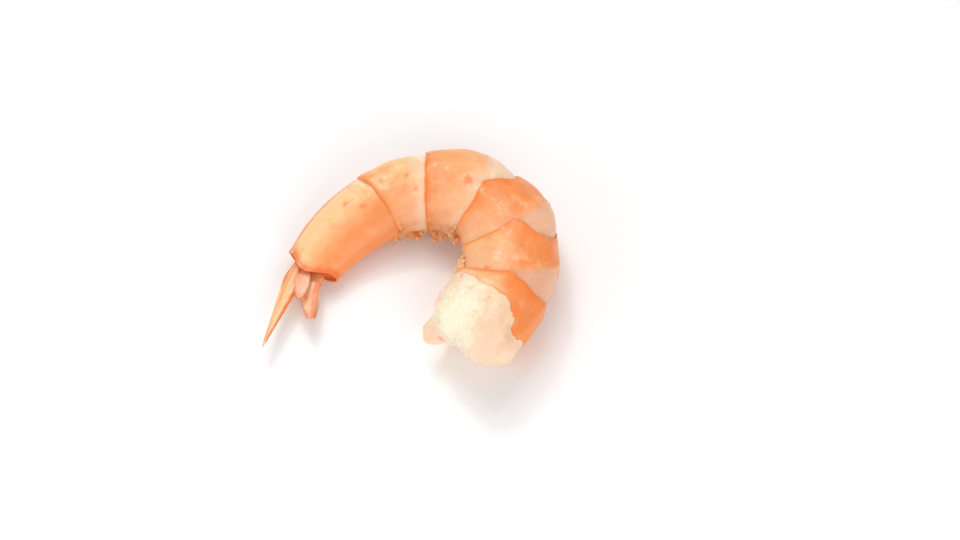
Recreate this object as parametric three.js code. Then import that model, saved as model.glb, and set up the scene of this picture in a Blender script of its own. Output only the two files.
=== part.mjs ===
// A cooked tiger prawn, peeled, with its tail left on, lying on its left side.
// Millimetres, +Z up. The body curls in the XY plane: the cut end, where the
// head was taken off, is at +X, the back of the curl at +Y and the tail fan at
// -X. The origin is on the table, under the middle of the prawn's box.
import * as THREE from 'three';

// ---------- driving dimensions, millimetres and degrees ----------

// The body's centreline runs tailward from the edge of the coloured skin at the
// cut end, through five peeled segments and the shelled sixth one.
const SEGMENT_LENGTHS = [6.1, 12.3, 11.4, 12.7, 11.0, 19.4];
const PEELED = 5;                // of the segments, and the joint before the shell
// At each joint: the way the tail lies as seen from above, and the body's size
// from back to belly and from side to side.
const HEADINGS = [44.5, 69, 101, 143, 182, 213, 236];
const DEPTHS = [21.6, 19.8, 20.8, 19.0, 17.8, 16.4, 12.0];
const WIDTHS = [18.5, 18.2, 17.6, 16.4, 14.4, 12.2, 7.2];
const START_X = 16.03;           // where the centreline starts, so that the
const START_Y = -13.58;          // box is centred on the origin
const SETTLED = 0.4;             // the underside is pressed flat by this much
const BELLY_NARROWING = 0.07;    // share by which the belly is narrower

// Peeled flesh.
const CUT_END_LENGTH = 11.5;     // the rounded white end, past the skin's edge
const CUT_END_STEP = 0.5;        // the skin stands this proud of the white end
const CUT_END_FULLNESS = 0.72;   // 1 is a plain dome, less is blunter
const CUT_END_UNEVEN = 2;        // times the skin's unevenness
const LOBES_FADE_IN = 0.35;      // radians of lift over which the lobes start
const CROWNS = [0, 0.8, 2.3, 2.6, 0.3];       // swell of each segment's back
const CROWN_SKEW = 0.7;          // 1 is a crown at mid segment, less is headward
const SIDE_LINE = 82;            // degrees from the back to the side line
const BACK_FOLDS = [1.5, 1.2, 3.2, 3.0, 0.2, -0.5];   // how far each joint's line
const BELLY_FOLDS = [-0.7, 1.8, 2.7, 1.4, 0, 0];      // runs headward of straight
const EDGE_PROUD = 0.35;         // rear edge of each segment, which rises
const EDGE_START = 0.6;          // between these shares of the segment
const EDGE_FULL = 0.96;
const FRONT_SUNK = 0.45;         // front edge of the next, behind it, which
const FRONT_RISEN = 0.45;        // is level at this share of the segment
const WEDGE_REACHES = [0, 6.5, 4.3, 4.4, 3.3, 3.0];   // smooth wedge behind each
const WEDGE_SUNK = 0.35;         // joint's back, which ends at the side line
const WEDGE_STEP = 0.6;
const SIDE_CREASE = 0.25;        // soft furrow that joins the wedges' points
const SIDE_CREASE_ANGLE = 72;
const SIDE_CREASE_HALF_ANGLE = 9;
const BELLY_GROOVE = 0.8;        // along the middle of the belly
const BELLY_GROOVE_HALF_ANGLE = 16;

// Soft unevenness, as two crossed pairs of waves: the radians of each in a
// millimetre along x, y and z, and where it starts.
const UNEVEN = 0.16;
const WAVES = [
  { x: 0.55, y: 0, z: 0, start: 1.3 },
  { x: 0, y: 0.49, z: 0, start: 0.4 },
  { x: 0, y: 0.83, z: 0.71, start: 0 },
  { x: 0.77, y: 0, z: -0.6, start: 0 },
];

// Lobes of muscle on the white end, as the direction they face, (back, right
// side, headward), their height and how wide they spread.
const CUT_END_LOBES = [
  { back: 0.75, side: 0.35, head: 0.55, height: 2.4, spread: 0.36 },
  { back: 0.10, side: 0.75, head: 0.65, height: -0.8, spread: 0.22 },
  { back: -0.55, side: 0.05, head: 0.85, height: -0.7, spread: 0.30 },
  { back: 0.30, side: -0.55, head: 0.80, height: -2.8, spread: 0.30 },
  { back: -0.53, side: -0.26, head: 0.81, height: 2.6, spread: 0.16 },
];
// Torn shreds left on the belly by the peeled legs: the segment, the place
// along it and the height.
const BELLY_SHREDS = [
  { segment: 2, along: 0.95, height: 1.3 },
  { segment: 3, along: 0.12, height: 1.6 },
  { segment: 3, along: 0.62, height: 0.9 },
  { segment: 3, along: 0.92, height: 1.5 },
  { segment: 4, along: 0.88, height: 2.0 },
];
const SHRED_LENGTH = 1.1;
const SHRED_ANGLE = 9;           // off the middle of the belly, on both sides
const SHRED_HALF_ANGLE = 13;

// Flesh that enters the tail shell, and the shell round it.
const GAP = 0.3;                 // between pieces that touch
const SHELL_STEP = 0.5;          // the shell lies this far under the last edge
const SHELL_RISEN = 0.3;         // and is level at this share of its length
const SHELL_WALL = 0.6;
const STUMP_LENGTH = 2.6;
const RIDGE_HEIGHT = 0.5;        // keel along the shell's back
const RIDGE_HALF_ANGLE = 10;
const RIDGE_START = 0.05;        // share of the shell's length
const RIM_PROUD = 0.25;          // thickened rear rim
const RIM_LENGTH = 1.2;
const RIM_SIDE_LOBE = 3.4;       // the rim's right side reaches back further,
const RIM_SIDE_ANGLE = 88;       // most of all at this angle from the back,
const RIM_SIDE_HALF_ANGLE = 42;
const RIM_BELLY_CUT = 0.4;       // and the belly less far
const RIM_WALL = 0.9;            // the rim stands round a shallow hollow,
const RIM_BEVEL = 0.25;          // and its edge slopes in by this much
const SHELL_CROWN = 0.5;         // swell of the shell's back
const HOLLOW_DEPTH = 0.7;        // ahead of the end of the body
const HOLLOW_RINGS = [1, 0.6];   // rings across the hollow's floor

// Mesh: points round a section and rings along each stretch.
const AROUND = 48;
const CUT_END_RINGS = 9;
const SEGMENT_RINGS = [0, 0.07, 0.2, 0.36, 0.52, 0.7, 0.86, 0.96];
const SHELL_RINGS = 16;
const BLADE_RINGS = 12;
const BLADE_AROUND = 14;

const degrees = Math.PI / 180;
const { lerp, clamp, smoothstep } = THREE.MathUtils;

// ---------- the centreline ----------

const joints = [0];
for (const length of SEGMENT_LENGTHS) joints.push(joints.at(-1) + length);
const BODY_END = joints.at(-1);

// A value given at every joint, at any place along the centreline.
function along(values, s) {
  const place = clamp(s, 0, BODY_END);
  let i = 0;
  while (i < values.length - 2 && place > joints[i + 1]) i += 1;
  return lerp(values[i], values[i + 1], (place - joints[i]) / (joints[i + 1] - joints[i]));
}

const STEP = 0.1;                // of the walk along the centreline, which
const WALK_PAST = 4;             // runs this far past the end of the body
const walk = [new THREE.Vector2(START_X, START_Y)];
for (let s = 0; s < BODY_END + WALK_PAST; s += STEP) {
  const heading = along(HEADINGS, s + STEP / 2) * degrees;
  walk.push(walk.at(-1).clone().add(new THREE.Vector2(
    Math.cos(heading) * STEP, Math.sin(heading) * STEP)));
}

// Where the centreline is at s, and the directions of a section there.
function frameAt(s) {
  const heading = along(HEADINGS, s) * degrees;
  const tail = new THREE.Vector3(Math.cos(heading), Math.sin(heading), 0);
  const back = new THREE.Vector3(Math.sin(heading), -Math.cos(heading), 0);
  const right = new THREE.Vector3(0, 0, 1);
  let plan;
  if (s < 0) {
    plan = walk[0].clone().add(new THREE.Vector2(tail.x, tail.y).multiplyScalar(s));
  } else {
    const i = Math.min(Math.floor(s / STEP), walk.length - 2);
    plan = walk[i].clone().lerp(walk[i + 1], s / STEP - i);
  }
  const centre = new THREE.Vector3(plan.x, plan.y, along(WIDTHS, s) / 2 - SETTLED);
  return { centre, tail, back, right };
}

// A point of a section: round is the angle from the back towards the right
// side, and grow is added all round. The belly is a little narrower.
function sectionPoint(s, round, scale = 1, grow = 0) {
  const { centre, back, right } = frameAt(s);
  const deep = along(DEPTHS, s) / 2 * scale + grow;
  const wide = (along(WIDTHS, s) / 2 * scale + grow) * (1 + BELLY_NARROWING * Math.cos(round));
  return centre
    .addScaledVector(back, deep * Math.cos(round))
    .addScaledVector(right, wide * Math.sin(round));
}

// ---------- the flesh's relief ----------

const angleOff = (round, middle) => Math.abs(
  Math.atan2(Math.sin(round - middle), Math.cos(round - middle)));

// A joint's line, which folds headward between the back, side and belly lines.
function jointLine(joint, round) {
  const off = angleOff(round, 0) / degrees;
  if (off < SIDE_LINE) {
    return joints[joint] - BACK_FOLDS[joint] * Math.sin(Math.PI * off / SIDE_LINE);
  }
  const below = (off - SIDE_LINE) / (180 - SIDE_LINE);
  return joints[joint] - BELLY_FOLDS[joint] * Math.sin(Math.PI * below);
}

// Where the smooth wedge behind a joint ends, straight from the back's middle
// to the side line.
const wedgeEnd = (joint, round) => joints[joint]
  + WEDGE_REACHES[joint] * (1 - angleOff(round, 0) / degrees / SIDE_LINE);

function uneven(point) {
  const [first, second, third, fourth] = WAVES.map(({ x, y, z, start }) => Math.sin(
    point.x * x + point.y * y + point.z * z + start));
  return UNEVEN * (first * second + third * fourth);
}

// A smooth swell that is 1 at its middle and fades over the given half width.
const swell = (off, halfWidth) => Math.exp(-Math.pow(off / halfWidth, 2));

// How far the flesh stands off its plain section, at a place w along a segment.
function fleshRelief(segment, w, round) {
  const onBack = Math.max(0, Math.cos(round));
  const crown = CROWNS[segment] * 2 * Math.pow(w, CROWN_SKEW) * (1 - w) * onBack;
  const rise = lerp(-FRONT_SUNK, 0, smoothstep(w, 0, FRONT_RISEN));
  const edge = EDGE_PROUD * smoothstep(w, EDGE_START, EDGE_FULL);
  const s = lerp(jointLine(segment, round), jointLine(segment + 1, round), w);
  const end = wedgeEnd(segment, round);
  const inWedge = segment > 0 && angleOff(round, 0) < SIDE_LINE * degrees
    ? 1 - smoothstep(s, end - WEDGE_STEP, end) : 0;
  const creaseOff = angleOff(round, 0) / degrees - SIDE_CREASE_ANGLE;
  const crease = SIDE_CREASE * swell(creaseOff, SIDE_CREASE_HALF_ANGLE) * Math.sin(Math.PI * w);
  const offBelly = angleOff(round, Math.PI) / degrees;
  const groove = BELLY_GROOVE * swell(offBelly, BELLY_GROOVE_HALF_ANGLE);
  let shreds = 0;
  for (const shred of BELLY_SHREDS.filter((one) => one.segment === segment)) {
    const off = (w - shred.along) * SEGMENT_LENGTHS[segment];
    shreds += shred.height * swell(off, SHRED_LENGTH)
      * swell(offBelly - SHRED_ANGLE, SHRED_HALF_ANGLE);
  }
  return crown + rise + edge - WEDGE_SUNK * inWedge - crease - groove + shreds;
}

// ---------- closed skins ----------

// Rings of points, closed to a pole at each end, as one solid's geometry.
function closedSkin(firstPole, rings, lastPole) {
  const count = rings[0].length;
  const points = [firstPole, ...rings.flat(), lastPole];
  const faces = [];
  const at = (ring, i) => 1 + ring * count + (i % count);
  const last = points.length - 1;
  for (let i = 0; i < count; i += 1) {
    faces.push(0, at(0, i + 1), at(0, i));
    for (let ring = 0; ring < rings.length - 1; ring += 1) {
      const [a, b] = [at(ring, i), at(ring, i + 1)];
      const [c, d] = [at(ring + 1, i), at(ring + 1, i + 1)];
      faces.push(a, b, c, b, d, c);
    }
    faces.push(last, at(rings.length - 1, i), at(rings.length - 1, i + 1));
  }
  const geometry = new THREE.BufferGeometry();
  geometry.setAttribute('position', new THREE.Float32BufferAttribute(
    points.flatMap((point) => [point.x, point.y, point.z]), 3));
  geometry.setIndex(volumeOf(points, faces) > 0 ? faces : faces.reverse());
  geometry.computeVertexNormals();
  return geometry;
}

function volumeOf(points, faces) {
  let six = 0;
  for (let i = 0; i < faces.length; i += 3) {
    const [a, b, c] = [points[faces[i]], points[faces[i + 1]], points[faces[i + 2]]];
    six += a.dot(new THREE.Vector3().crossVectors(b, c));
  }
  return six;
}

const middle = (ring) => ring
  .reduce((sum, point) => sum.add(point), new THREE.Vector3())
  .divideScalar(ring.length);

const ringOf = (count, pointAt) => Array.from({ length: count },
  (_, i) => pointAt(2 * Math.PI * i / count));

// The table presses the underside flat.
function onTable(point) {
  point.z = Math.max(point.z, 0);
  return point;
}

// ---------- the flesh ----------

// The white end, as a dome over the skin's front edge; lift runs from 0 at the
// skin to a right angle at its tip.
function cutEndPoint(round, lift) {
  const s = lerp(jointLine(0, round), -CUT_END_LENGTH, Math.sin(lift));
  const scale = Math.pow(Math.cos(lift), CUT_END_FULLNESS);
  const facing = new THREE.Vector3(Math.cos(round) * Math.cos(lift),
    Math.sin(round) * Math.cos(lift), Math.sin(lift));
  let lobes = 0;
  for (const { back, side, head, height, spread } of CUT_END_LOBES) {
    const off = facing.distanceTo(new THREE.Vector3(back, side, head).normalize());
    lobes += height * Math.exp(-off * off / (2 * spread * spread));
  }
  const { tail, back, right } = frameAt(0);
  const point = sectionPoint(s, round, scale, -CUT_END_STEP * scale);
  const out = lobes * smoothstep(lift, 0, LOBES_FADE_IN) + uneven(point) * CUT_END_UNEVEN;
  return onTable(point
    .addScaledVector(back, out * facing.x)
    .addScaledVector(right, out * facing.y)
    .addScaledVector(tail, -out * facing.z));
}

function fleshPoint(segment, w, round) {
  const s = lerp(jointLine(segment, round), jointLine(segment + 1, round), w);
  const relief = fleshRelief(segment, w, round);
  return onTable(sectionPoint(s, round, 1, relief + uneven(sectionPoint(s, round))));
}

function stumpPoint(depth, round) {
  const s = jointLine(PEELED, round) + depth;
  return sectionPoint(s, round, 1, -SHELL_STEP - SHELL_WALL - GAP);
}

function flesh() {
  const rings = [];
  for (let i = 1; i < CUT_END_RINGS; i += 1) {
    const lift = (1 - i / CUT_END_RINGS) * Math.PI / 2;
    rings.push(ringOf(AROUND, (round) => cutEndPoint(round, lift)));
  }
  rings.push(ringOf(AROUND, (round) => cutEndPoint(round, 0)));
  for (let segment = 0; segment < PEELED; segment += 1) {
    for (const w of SEGMENT_RINGS) {
      rings.push(ringOf(AROUND, (round) => fleshPoint(segment, w, round)));
    }
  }
  rings.push(ringOf(AROUND, (round) => fleshPoint(PEELED - 1, 1, round)));
  rings.push(ringOf(AROUND, (round) => stumpPoint(0, round)));
  rings.push(ringOf(AROUND, (round) => stumpPoint(STUMP_LENGTH, round)));
  return closedSkin(cutEndPoint(0, Math.PI / 2), rings, middle(rings.at(-1)));
}

// ---------- the tail shell ----------

function rearRim(round) {
  const off = angleOff(round, RIM_SIDE_ANGLE * degrees) / degrees;
  return BODY_END + RIM_SIDE_LOBE * swell(off, RIM_SIDE_HALF_ANGLE)
    - RIM_BELLY_CUT * (1 - Math.cos(round)) / 2;
}

function shellPoint(w, round) {
  const s = lerp(jointLine(PEELED, round) + GAP, rearRim(round), w);
  const sunk = lerp(SHELL_STEP, 0, smoothstep(w, 0, SHELL_RISEN));
  const ridge = RIDGE_HEIGHT * swell(angleOff(round, 0) / degrees, RIDGE_HALF_ANGLE)
    * smoothstep(w, RIDGE_START, SHELL_RISEN);
  const crown = SHELL_CROWN * Math.sin(Math.PI * w) * Math.max(0, Math.cos(round));
  const rim = RIM_PROUD * smoothstep(w, 1 - RIM_LENGTH / SEGMENT_LENGTHS[PEELED], 1);
  return onTable(sectionPoint(s, round, 1, crown + ridge + rim - sunk));
}

function shellMouth(depth, round) {
  return sectionPoint(jointLine(PEELED, round) + GAP + depth, round, 1, -SHELL_STEP - SHELL_WALL);
}

// The hollow that the fan's blades come out of, inside the rim.
function hollowEdge(round) {
  return sectionPoint(rearRim(round) - RIM_BEVEL, round, 1, -RIM_WALL);
}

function hollowFloor(scale, round) {
  return sectionPoint(BODY_END - HOLLOW_DEPTH, round, scale, -RIM_WALL * scale);
}

function tailShell() {
  const rings = [
    ringOf(AROUND, (round) => shellMouth(STUMP_LENGTH + GAP, round)),
    ringOf(AROUND, (round) => shellMouth(0, round)),
  ];
  for (let i = 0; i <= SHELL_RINGS; i += 1) {
    rings.push(ringOf(AROUND, (round) => shellPoint(i / SHELL_RINGS, round)));
  }
  rings.push(ringOf(AROUND, hollowEdge));
  for (const scale of HOLLOW_RINGS) {
    rings.push(ringOf(AROUND, (round) => hollowFloor(scale, round)));
  }
  return closedSkin(middle(rings[0]), rings, middle(rings.at(-1)));
}

// ---------- the tail fan ----------

const THICKNESS_TAPER = 0.6;     // how fast the thickness follows the width
const FURROW_HALF_WIDTH = 0.5;   // radians round the blade's section
const FURROW_REACH = 0.9;        // share of the blade's length

// A tapering blade. It starts at (back, right, tail) from the end of the body,
// points to heading and rise, and turns its flat side by roll from upright.
// The outline gives its half width along it, from 0 at the root to 1 at the tip,
// and lean is how far its narrow parts draw to one side, as a share of what
// they lack in half width.
function blade({
  root, heading, rise, roll, length, width, thickness, outline, furrow = 0, lean = 0,
}) {
  const end = frameAt(BODY_END);
  const start = end.centre.clone()
    .addScaledVector(end.back, root.back)
    .addScaledVector(end.right, root.right)
    .addScaledVector(end.tail, root.tail);
  const tip = new THREE.Vector3(
    Math.cos(rise * degrees) * Math.cos(heading * degrees),
    Math.cos(rise * degrees) * Math.sin(heading * degrees),
    Math.sin(rise * degrees));
  const level = new THREE.Vector3().crossVectors(new THREE.Vector3(0, 0, 1), tip).normalize();
  const upright = new THREE.Vector3().crossVectors(tip, level);
  const broad = upright.clone().applyAxisAngle(tip, roll * degrees);
  const flat = new THREE.Vector3().crossVectors(broad, tip);
  const rings = [];
  for (let i = 0; i <= BLADE_RINGS; i += 1) {
    const u = i / BLADE_RINGS;
    const share = outline(u);
    const half = width / 2 * share;
    const aside = lean * (width / 2 - half);
    const thick = thickness / 2 * Math.pow(share, THICKNESS_TAPER);
    rings.push(ringOf(BLADE_AROUND, (round) => {
      const dent = furrow * swell(angleOff(round, Math.PI / 2), FURROW_HALF_WIDTH)
        * Math.sin(Math.PI * Math.min(1, u / FURROW_REACH));
      return start.clone()
        .addScaledVector(tip, length * u)
        .addScaledVector(broad, half * Math.cos(round) + aside)
        .addScaledVector(flat, thick * Math.sin(round) - dent * thickness);
    }));
  }
  return closedSkin(middle(rings[0]), rings, middle(rings.at(-1)));
}

// The outlines, as shares of the blade's half width. A spike widens to its
// shoulder and narrows to a sharp tip, a wing does so to a blunt one, a leaf is
// round at both ends, and a stub is only a little fuller in its middle.
const SPIKE = { shoulder: 0.22, root: 0.62, tip: 0.05, bulge: 0.95 };
const WING = { shoulder: 0.3, root: 0.6, tip: 0.25, bulge: 0.85 };
const LEAF = { first: 0.12, last: 0.97 };   // the part of a half turn that it spans
const STUB_ENDS = 0.8;
const LEAN = 0.6;                // of the outer blades, to their straight edge

const shouldered = ({ shoulder, root, tip, bulge }) => (u) => (u < shoulder
  ? lerp(root, 1, smoothstep(u, 0, shoulder))
  : lerp(tip, 1, Math.pow((1 - u) / (1 - shoulder), bulge)));

const spike = shouldered(SPIKE);
const wing = shouldered(WING);

const leaf = (u) => Math.sqrt(Math.sin(Math.PI * lerp(LEAF.first, LEAF.last, u)));
const stub = (u) => lerp(STUB_ENDS, 1, Math.sin(Math.PI * u));

const FAN = {
  telson: {
    root: { back: 2.75, right: 0.3, tail: 0.15 },
    heading: 251, rise: 3, roll: -78,
    length: 23.1, width: 4.4, thickness: 2.0, outline: spike, furrow: 0.25,
  },
  uropod_right_base: {
    root: { back: -1.2, right: 0.1, tail: 0.5 },
    heading: 268, rise: 10, roll: -75,
    length: 3.2, width: 4.4, thickness: 1.8, outline: stub,
  },
  uropod_right_outer: {
    root: { back: -2.5, right: 1.0, tail: 3.8 },
    heading: 264, rise: 4, roll: -75,
    length: 8.9, width: 4.3, thickness: 0.9, outline: wing, furrow: 0.1, lean: LEAN,
  },
  uropod_right_inner: {
    root: { back: -0.2, right: 2.1, tail: 2.7 },
    heading: 261, rise: 6, roll: -82,
    length: 6.9, width: 3.1, thickness: 0.8, outline: leaf, furrow: 0.1,
  },
  uropod_left_base: {
    root: { back: -1.0, right: -1.9, tail: 0.5 },
    heading: 250, rise: 0, roll: 80,
    length: 2.2, width: 3.8, thickness: 1.2, outline: stub,
  },
  uropod_left_outer: {
    root: { back: -2.4, right: -1.9, tail: 3.0 },
    heading: 264, rise: 0, roll: 80,
    length: 7.4, width: 3.2, thickness: 0.7, outline: wing, furrow: 0.1, lean: -LEAN,
  },
  uropod_left_inner: {
    root: { back: 0, right: -1.9, tail: 3.3 },
    heading: 256, rise: 0, roll: 80,
    length: 3.9, width: 2.2, thickness: 0.7, outline: leaf, furrow: 0.1,
  },
};

// ---------- the prawn ----------

const fleshMaterial = new THREE.MeshStandardMaterial(
  { color: 0xf8ae77, roughness: 0.38, metalness: 0 });
const shellMaterial = new THREE.MeshStandardMaterial(
  { color: 0xf6a76c, roughness: 0.3, metalness: 0 });
const fanMaterial = new THREE.MeshStandardMaterial(
  { color: 0xf9bd92, roughness: 0.34, metalness: 0 });

function named(name, geometry, material) {
  const mesh = new THREE.Mesh(geometry, material);
  mesh.name = name;
  return mesh;
}

const prawn = new THREE.Group();
prawn.add(named('flesh', flesh(), fleshMaterial));
prawn.add(named('tail_shell', tailShell(), shellMaterial));
for (const [name, sizes] of Object.entries(FAN)) {
  prawn.add(named(name, blade(sizes), fanMaterial));
}

export default prawn;
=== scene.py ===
# %% [markdown]
# # A cooked tiger prawn, peeled, with its tail left on
#
# The prawn lies curled on its left side. Its body is a row of rings along a
# curved centreline: a white cut end, five peeled segments, and the shelled
# tail segment with the blades of the tail fan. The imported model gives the
# size and place of everything, and this lesson dresses each of its pieces.
# Skins of rings are made first, then the thin blades, the torn scraps, the
# table, the light and the camera.

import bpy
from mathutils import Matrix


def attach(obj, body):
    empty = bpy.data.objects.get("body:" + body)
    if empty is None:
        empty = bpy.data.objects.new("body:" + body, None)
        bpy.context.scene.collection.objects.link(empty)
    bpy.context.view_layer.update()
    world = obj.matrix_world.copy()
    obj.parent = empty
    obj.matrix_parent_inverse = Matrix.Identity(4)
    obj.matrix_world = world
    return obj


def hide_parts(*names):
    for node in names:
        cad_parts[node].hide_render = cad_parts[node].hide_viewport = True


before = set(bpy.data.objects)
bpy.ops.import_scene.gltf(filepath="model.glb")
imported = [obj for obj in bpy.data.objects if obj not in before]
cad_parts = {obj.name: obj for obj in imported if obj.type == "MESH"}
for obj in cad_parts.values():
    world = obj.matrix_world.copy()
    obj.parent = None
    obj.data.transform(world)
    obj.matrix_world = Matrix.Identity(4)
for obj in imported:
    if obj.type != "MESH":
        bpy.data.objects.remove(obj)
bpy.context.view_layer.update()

# %% Modules
import math
from functools import partialmethod

import bmesh
import bpy
import numpy as np
from mathutils import Matrix, Quaternion, Vector

MM = 0.001

# %% [markdown]
# ## A small algebra for node trees
#
# The shapes and colours below are formulas. A formula in a node tree is a
# chain of Math nodes, which is slow to write by hand, so a Field stands for
# the value on a wire: adding or multiplying two Fields adds the node that does
# it. The same class serves Geometry Nodes and materials.

# %% Fields
class Field:
    """A value on a wire of a node tree."""

    def __init__(self, tree, socket):
        self.tree = tree
        self.socket = socket

    def math(self, operation, *others):
        return value_of(self.tree, "ShaderNodeMath", dict(enumerate((self, *others))),
                        operation=operation)

    def vector(self, operation, *others):
        output = "Value" if operation == "DOT_PRODUCT" else "Vector"
        return value_of(self.tree, "ShaderNodeVectorMath", dict(enumerate((self, *others))),
                        output, operation=operation)

    def scaled(self, share):
        return value_of(self.tree, "ShaderNodeVectorMath", {0: self, "Scale": share},
                        operation="SCALE")

    __add__ = __radd__ = partialmethod(math, "ADD")
    __mul__ = __rmul__ = partialmethod(math, "MULTIPLY")
    __sub__ = partialmethod(math, "SUBTRACT")
    __truediv__ = partialmethod(math, "DIVIDE")
    __pow__ = partialmethod(math, "POWER")
    sine, cosine = partialmethod(math, "SINE"), partialmethod(math, "COSINE")
    at_least, at_most = partialmethod(math, "MAXIMUM"), partialmethod(math, "MINIMUM")

    def __rsub__(self, other):
        return (self * -1) + other


def plug(tree, value, socket):
    if isinstance(value, Field):
        tree.links.new(value.socket, socket)
    else:
        socket.default_value = value


def add_node(tree, kind, inputs=None, **settings):
    node = tree.nodes.new(kind)
    for name, value in settings.items():
        setattr(node, name, value)
    for name, value in (inputs or {}).items():
        plug(tree, value, node.inputs[name])
    return node


def value_of(tree, kind, inputs=None, output=0, **settings):
    """The value that a new node gives."""
    return Field(tree, add_node(tree, kind, inputs, **settings).outputs[output])


# %% [markdown]
# A few helpers give most of a prawn's soft forms: a straight mix of two values,
# a smooth rise or fall between two places, a rounded swell that fades on both
# sides, and noise for all that is uneven.

# %% Helpers for formulas
def mixed(first, second, share):
    return (second - first) * share + first


def rise(value, low, high):
    return value_of(value.tree, "ShaderNodeMapRange",
                    {"Value": value, "From Min": low, "From Max": high}, "Result",
                    interpolation_type="SMOOTHSTEP")


def fall(value, low, high):
    return 1 - rise(value, low, high)


def swell(off, half_width):
    return ((off / half_width) ** 2 * -1).math("EXPONENT")


def noise(place, scale, detail=2.0, roughness=0.5, distortion=0.0):
    return value_of(place.tree, "ShaderNodeTexNoise",
                    {"Vector": place, "Scale": scale, "Detail": detail,
                     "Roughness": roughness, "Distortion": distortion})


def wobble(place, *settings):
    """Noise that goes as far below nought as above it."""
    return noise(place, *settings) - 0.5


def combined(tree, x, y, z):
    return value_of(tree, "ShaderNodeCombineXYZ", {"X": x, "Y": y, "Z": z})


def split(vector):
    node = add_node(vector.tree, "ShaderNodeSeparateXYZ", {0: vector})
    return [Field(vector.tree, socket) for socket in node.outputs]


def aligned(direction):
    """The turn that brings a piece's height into this direction."""
    return value_of(direction.tree, "FunctionNodeAlignRotationToVector",
                    {"Vector": direction}, axis="Z")


def moved(place, *parts):
    """A place moved along directions, each with its distance."""
    for direction, distance in parts:
        place = place.vector("ADD", direction.scaled(distance))
    return place


# %% [markdown]
# ## The body's plan
#
# The body is measured along its centreline, from the edge of the coloured skin
# at the cut end towards the tail. At each joint the plan gives the way the tail
# lies and how deep and wide the body is, in millimetres and degrees. These are
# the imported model's own dimensions, so every ring falls where its solid is.

# %% Dimensions
SEGMENT_LENGTHS = [6.1, 12.3, 11.4, 12.7, 11.0, 19.4]
HEADINGS = [44.5, 69, 101, 143, 182, 213, 236]
DEPTHS = [21.6, 19.8, 20.8, 19.0, 17.8, 16.4, 12.0]
WIDTHS = [18.5, 18.2, 17.6, 16.4, 14.4, 12.2, 7.2]
START = (16.03, -13.58)          # of the centreline, on the table
SETTLED = 0.4                    # the underside is pressed flat by this much
BELLY_NARROWING = 0.07
SIDE_LINE = 82                   # degrees from the back to the side line
CUT_END_LENGTH = 11.5

JOINTS = np.concatenate([[0], np.cumsum(SEGMENT_LENGTHS)])
BODY_END = JOINTS[-1]


# %% Centreline
def at_joints(values, s):
    return np.interp(s, JOINTS, values)


WALK_STEP = 0.1
WALK_BEFORE = 14.0               # the walk starts this far ahead of the skin's edge
WALK_AFTER = 6.0


def walk_centreline():
    """Places every WALK_STEP along the centreline, and where each lies on the table."""
    s = np.arange(-WALK_BEFORE, BODY_END + WALK_AFTER, WALK_STEP)
    headings = np.radians(at_joints(HEADINGS, s + WALK_STEP / 2))
    steps = np.stack([np.cos(headings), np.sin(headings)], 1) * WALK_STEP
    plan = np.concatenate([[[0, 0]], np.cumsum(steps, 0)[:-1]])
    return s, plan - plan[round(WALK_BEFORE / WALK_STEP)] + START


def new_object(name, data):
    made = bpy.data.objects.new(name, data)
    bpy.context.scene.collection.objects.link(made)
    return made


def mesh_with_values(name, points, values, edges=()):
    """A bare mesh whose points carry named numbers, for a node tree to read."""
    mesh = bpy.data.meshes.new(name)
    mesh.from_pydata([tuple(p) for p in points], list(edges), [])
    for key, numbers in values.items():
        data = mesh.attributes.new(key, "FLOAT", "POINT").data
        data.foreach_set("value", np.asarray(numbers, np.float32))
    return new_object(name, mesh)


walk_s, walk_plan = walk_centreline()
half_wide = at_joints(WIDTHS, walk_s) / 2
centreline = mesh_with_values(
    "centreline", np.column_stack([walk_plan, half_wide - SETTLED]),
    {"heading": np.radians(at_joints(HEADINGS, walk_s)),
     "half_deep": at_joints(DEPTHS, walk_s) / 2, "half_wide": half_wide},
    [(i, i + 1) for i in range(len(walk_s) - 1)])
print(f"centreline: {len(walk_s)} points, {BODY_END:.1f} mm of body")

# %% [markdown]
# ## Geometry Nodes that shape skins
#
# The flesh, the tail shell and the blades of the fan are all rows of rings, so
# their trees share a beginning. A flat grid has one row for each ring and one
# column for each angle round the body. The object that carries the modifier has
# one point for each ring, whose named numbers say where the ring lies and how
# it swells. The tree reads them by the ring's number and moves the grid's
# points into place.

# %% The shared part of the trees
MEETING = 0.002                  # points this near to each other are one
NO_LIMIT = -1000                 # lower than any point of the prawn


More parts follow.
